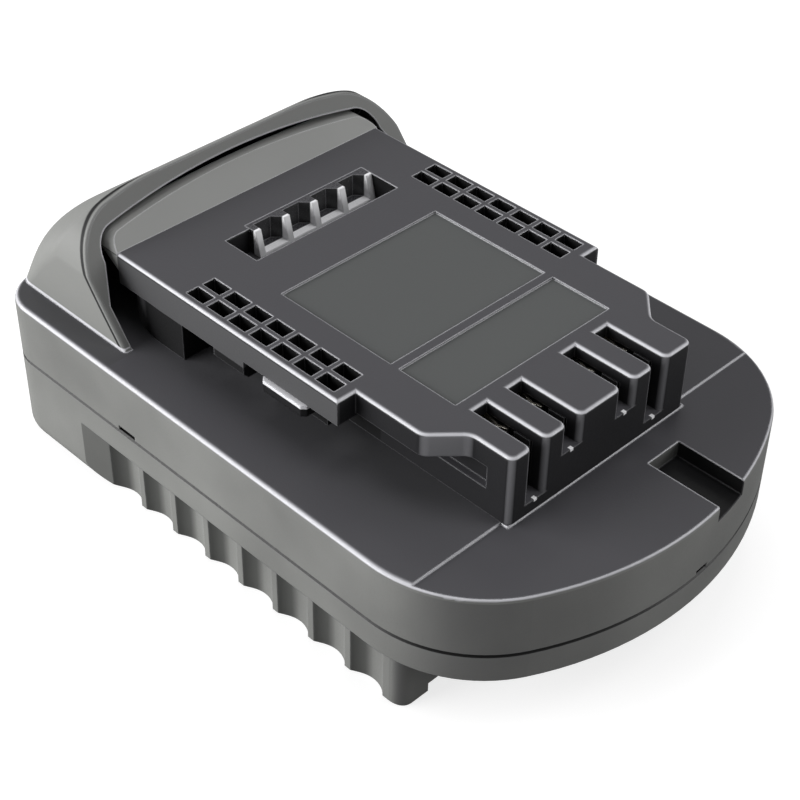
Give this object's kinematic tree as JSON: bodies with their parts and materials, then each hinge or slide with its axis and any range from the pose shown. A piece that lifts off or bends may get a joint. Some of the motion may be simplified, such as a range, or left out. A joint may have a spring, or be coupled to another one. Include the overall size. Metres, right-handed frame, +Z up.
{
  "type": "tool battery adapter",
  "caption": "Slide-on adapter that lets a cordless tool take a different battery pack: rail deck with terminal slots above, receiver with blades below.",
  "frame": {"origin": "middle of the bounding box's bottom face, on the surface that the adapter stands on", "axes": "+X towards the rounded nose, +Z up through the rail deck, -Y the side nearest the camera"},
  "size_m": [0.116, 0.078, 0.0467],
  "materials": {
    "case_plastic": "black moulded shell with a fine satin grain",
    "deck_plastic": "black moulded deck, satin",
    "insert_plastic": "black insert, a little glossier than the deck",
    "carrier_plastic": "black glass-filled carrier",
    "block_plastic": "dark grey terminal block",
    "tooth_plastic": "black low-friction tooth",
    "contact_metal": "nickel-plated contact strip",
    "blade_metal": "nickel-plated copper blade",
    "spring_steel": "bright spring wire",
    "strike_steel": "stamped steel plate",
    "screw_steel": "zinc-plated steel",
    "board_laminate": "green coated laminate",
    "component_black": "black moulded component body",
    "resistor_metal": "bare metal strip resistor",
    "capacitor_can": "sleeved aluminium can",
    "fuse_body": "cream ceramic-look fuse body",
    "lead_red": "red silicone lead",
    "lead_black": "black silicone lead",
    "lead_white": "white silicone lead"
  },
  "bodies": {
    "case": {"top_case": "case_plastic", "bottom_case": "case_plastic", "rail_deck": "deck_plastic", "louvre_insert": "insert_plastic", "terminal_carrier": "carrier_plastic", "clip_negative": "contact_metal", "clip_signal_low": "contact_metal", "clip_signal_high": "contact_metal", "clip_positive": "contact_metal", "circuit_board": "board_laminate", "power_switches": "component_black", "control_chip": "component_black", "board_fuse": "fuse_body", "sense_resistor": "resistor_metal", "smoothing_capacitor": "capacitor_can", "donor_terminal_block": "block_plastic", "blade_positive": "blade_metal", "blade_negative": "blade_metal", "blade_signal_high": "blade_metal", "blade_signal_low": "blade_metal", "lead_positive": "lead_red", "lead_negative": "lead_black", "lead_signal_high": "lead_white", "lead_signal_low": "lead_white", "latch_strike": "strike_steel", "case_screws": "screw_steel", "deck_screws": "screw_steel", "board_screws": "screw_steel", "block_screws": "screw_steel", "tooth_spring_right": "spring_steel", "tooth_spring_left": "spring_steel", "tooth_keeper_right": "deck_plastic", "tooth_keeper_left": "deck_plastic"},
    "latch_right": {"latch_tooth_right": "tooth_plastic"},
    "latch_left": {"latch_tooth_left": "tooth_plastic"}
  },
  "joints": [
    {"name": "latch_right_slide", "type": "slide", "parent": "case", "child": "latch_right", "axis": [0, -1, 0], "range_m": [0, 0.0022], "stiffness_N_per_m": 400, "springref_m": -0.002, "deforming": ["tooth_spring_right"]},
    {"name": "latch_left_slide", "type": "slide", "parent": "case", "child": "latch_left", "axis": [0, 1, 0], "range_m": [0, 0.0022], "stiffness_N_per_m": 400, "springref_m": -0.002, "deforming": ["tooth_spring_left"]}
  ]
}
